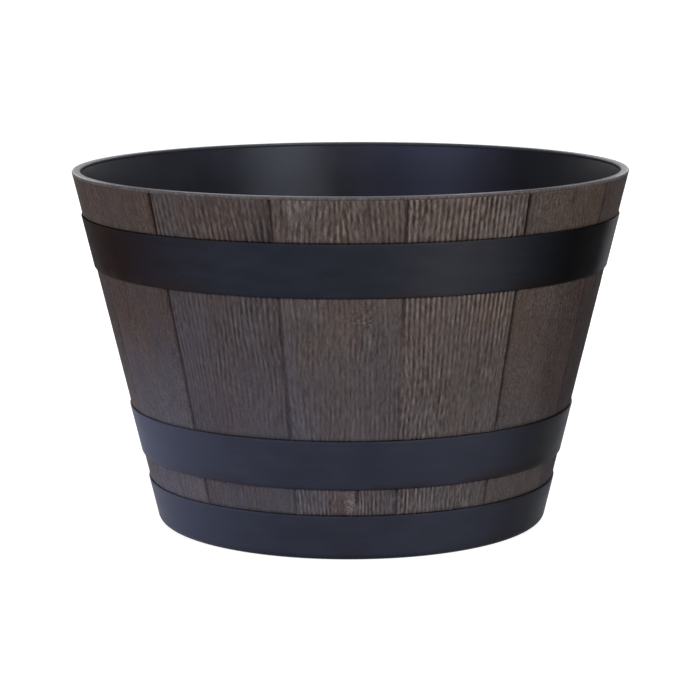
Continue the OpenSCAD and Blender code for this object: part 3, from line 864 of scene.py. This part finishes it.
def drain_plug(side, bearing, out):
    """A moulded rubber plug: a stem with two sealing ribs, a dished flange and a waisted finger grip."""
    low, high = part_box("drain_plug_" + side)
    floor_z = high[2] - PLUG_GRIP
    stem_mm = 1000 * (floor_z - low[2])
    rings = [(z - stem_mm, a, b, p) for z, a, b, p in STEM_RINGS if z < stem_mm - STEM_TOP] + CAP_RINGS
    t = 2 * math.pi * np.arange(PLUG_STEPS) / PLUG_STEPS
    along = np.array([math.sin(math.radians(bearing)), -math.cos(math.radians(bearing)), 0.0])
    beside = np.array([-along[1], along[0], 0.0])
    centre = out * along
    points = []
    for z, a, b, p in rings:
        x = a * np.sign(np.cos(t)) * np.abs(np.cos(t)) ** (2 / p)
        y = b * np.sign(np.sin(t)) * np.abs(np.sin(t)) ** (2 / p)
        ring = centre + 0.001 * (x[:, None] * along + y[:, None] * beside)
        ring[:, 2] = floor_z + 0.001 * z
        points += ring.tolist()
    ends = len(points)
    for z in (rings[0][0], rings[-1][0]):
        points.append((centre + np.array([0.0, 0.0, floor_z + 0.001 * z])).tolist())
    faces = []
    top = (len(rings) - 1) * PLUG_STEPS
    for k in range(PLUG_STEPS):
        k1 = (k + 1) % PLUG_STEPS
        faces.append((ends, k1, k))
        faces.append((ends + 1, top + k, top + k1))
        for r in range(0, top, PLUG_STEPS):
            faces.append((r + k, r + k1, r + PLUG_STEPS + k1, r + PLUG_STEPS + k))
    mesh = bpy.data.meshes.new("moulded_plug_" + side)
    mesh.from_pydata(points, [], faces)
    mesh.shade_smooth()
    piece = bpy.data.objects.new("moulded_plug_" + side, mesh)
    bpy.context.scene.collection.objects.link(piece)
    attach(piece, "plug_" + side)
    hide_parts("drain_plug_" + side)
    return piece


# Stage, lamps and camera

# How bright the white surroundings are to the things that they light; they are seen at 1
AMBIENT = 0.08
# The floor: half its size and how far it lies under the planter, in metres, and its paper's grey
FLOOR_HALF = 30.0
FLOOR_DROP = 0.0003
FLOOR_GREY = 0.3
# The floor's own glow goes from the first value near the planter to the second far off, between two distances
GLOW = (0.89, 0.99)
GLOW_FROM, GLOW_TO = 0.7, 2.5
# Where the camera stands, how it is turned and its lens, from the fit to the photograph's outline
CAMERA_PLACE = (0.0, -2.38795, 0.57037)
CAMERA_YAW, CAMERA_DOWN, CAMERA_ROLL = 0.0224, 9.783, -0.2135
CAMERA_SENSOR, CAMERA_LENS = 36.0, 131.4
# Softness of the beam into the pot
SPOT_RADIUS = 0.1


def seen_directly(graph):
    """1 where the camera, a reflection or a refraction looks, and 0 for light that falls on things."""
    path = graph.add("ShaderNodeLightPath").outputs
    mirrored = graph.math("MAXIMUM", path["Is Glossy Ray"], path["Is Transmission Ray"])
    return graph.math("MAXIMUM", path["Is Camera Ray"], mirrored)


def stage():
    """A white floor and sky, which look white but throw little light on the planter."""
    mesh = bpy.data.meshes.new("stage_floor")
    half = FLOOR_HALF
    corners = [(-half, -half, 0), (half, -half, 0), (half, half, 0), (-half, half, 0)]
    mesh.from_pydata(corners, [], [(0, 1, 2, 3)])
    floor = bpy.data.objects.new("stage_floor", mesh)
    floor.location.z = -FLOOR_DROP
    bpy.context.scene.collection.objects.link(floor)
    material, g = new_material("stage_white")
    distance = g.add("ShaderNodeVectorMath", {0: g.place()}, operation="LENGTH").outputs["Value"]
    strength = g.math("MULTIPLY", seen_directly(g), g.spread(distance, GLOW_FROM, GLOW_TO, *GLOW))
    paper = g.add("ShaderNodeBsdfDiffuse", {"Color": colour(FLOOR_GREY, FLOOR_GREY, FLOOR_GREY)})
    glow = g.add("ShaderNodeEmission", {"Color": colour(1.0, 1.0, 1.0), "Strength": strength})
    both = g.add("ShaderNodeAddShader", {0: paper.outputs[0], 1: glow.outputs[0]})
    g.add("ShaderNodeOutputMaterial", {"Surface": both.outputs[0]})
    mesh.materials.append(material)

    world = bpy.data.worlds.new("studio")
    bpy.context.scene.world = world
    world.use_nodes = True
    g = Graph(world.node_tree)
    strength = g.math("MULTIPLY_ADD", seen_directly(g), 1.0 - AMBIENT, AMBIENT)
    sky = g.add("ShaderNodeBackground", {"Color": colour(1.0, 1.0, 1.0), "Strength": strength})
    g.add("ShaderNodeOutputWorld", {"Surface": sky.outputs[0]})


def lamp(name, bearing, elevation, distance, size, energy, tint=(1.0, 1.0, 1.0), aim=(0.0, 0.0, 0.18),
         in_gloss=True, in_diffuse=True):
    """A rectangular lamp that looks at its aim from a bearing, an elevation and a distance. It is never seen
    itself, and can be left out of reflections or of the light on dull surfaces."""
    data = bpy.data.lights.new(name, "AREA")
    data.shape = "RECTANGLE"
    data.size, data.size_y = size
    data.energy = energy
    data.color = tint
    lamp_object = bpy.data.objects.new(name, data)
    b, e = math.radians(bearing), math.radians(elevation)
    aim = Vector(aim)
    away = Vector((math.sin(b) * math.cos(e), -math.cos(b) * math.cos(e), math.sin(e)))
    lamp_object.location = aim + away * distance
    lamp_object.rotation_euler = away.to_track_quat("Z", "Y").to_euler()
    lamp_object.visible_camera = False
    lamp_object.visible_glossy = in_gloss
    lamp_object.visible_diffuse = in_diffuse
    bpy.context.scene.collection.objects.link(lamp_object)


def spot(name, height, energy, angle):
    """A soft narrow beam straight down into the pot, which keeps off the rim and the floor."""
    data = bpy.data.lights.new(name, "SPOT")
    data.energy = energy
    data.spot_size = math.radians(angle)
    data.spot_blend = 1.0
    data.shadow_soft_size = SPOT_RADIUS
    spot_object = bpy.data.objects.new(name, data)
    spot_object.location.z = height
    bpy.context.scene.collection.objects.link(spot_object)


def sun(name, strength, angle):
    """Soft light straight down, which gives the floor an even tone and the planter its contact shadow."""
    data = bpy.data.lights.new(name, "SUN")
    data.energy = strength
    data.angle = math.radians(angle)
    bpy.context.scene.collection.objects.link(bpy.data.objects.new(name, data))


def camera():
    """The photograph's camera."""
    data = bpy.data.cameras.new("camera")
    data.sensor_width = CAMERA_SENSOR
    data.lens = CAMERA_LENS
    camera_object = bpy.data.objects.new("camera", data)
    place = Matrix.Translation(CAMERA_PLACE)
    yaw = Matrix.Rotation(math.radians(CAMERA_YAW), 4, "Z")
    pitch = Matrix.Rotation(math.radians(90.0 - CAMERA_DOWN), 4, "X")
    roll = Matrix.Rotation(math.radians(CAMERA_ROLL), 4, "Z")
    camera_object.matrix_world = place @ yaw @ pitch @ roll
    bpy.context.scene.collection.objects.link(camera_object)
    bpy.context.scene.camera = camera_object


stave_wall()
hoops()
rim()
put_material(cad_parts["inner_pot"], pot_material())
rubber = rubber_material()
for plug_side, plug_bearing, plug_out in PLUG_PLACES:
    put_material(drain_plug(plug_side, plug_bearing, plug_out), rubber)
stage()
# Each lamp's bearing, elevation, distance, size, energy, tint and aim, the beam's height, energy and angle,
# and the overhead light's strength and angle
lamp("key", 27.0, 33.0, 2.6, (0.7, 1.2), 32.0, (1.0, 0.985, 0.955))
lamp("key_edge", 38.0, 33.0, 2.6, (1.0, 1.2), 34.0, (0.93, 0.98, 1.0), in_diffuse=False)
lamp("left", -48.5, 33.0, 2.6, (0.8, 1.2), 14.5, (0.88, 0.93, 1.0))
lamp("front", 0.0, 33.0, 2.6, (1.2, 1.2), 21.0, in_gloss=False)
lamp("low_left", -70.0, 0.0, 0.62, (0.5, 0.10), 1.7, (0.76, 0.80, 1.0), (-0.12, -0.06, 0.056))
lamp("back_right", 156.0, 30.0, 2.6, (0.8, 1.2), 13.0)
lamp("back_left", -152.0, 30.0, 2.6, (0.8, 1.2), 18.0)
lamp("back", 178.0, 30.0, 2.6, (1.6, 1.2), 30.0, in_gloss=False)
spot("inside", 3.0, 260.0, 11.0)
sun("overhead", 0.5, 70.0)
camera()
bpy.context.scene.view_settings.view_transform = "Standard"
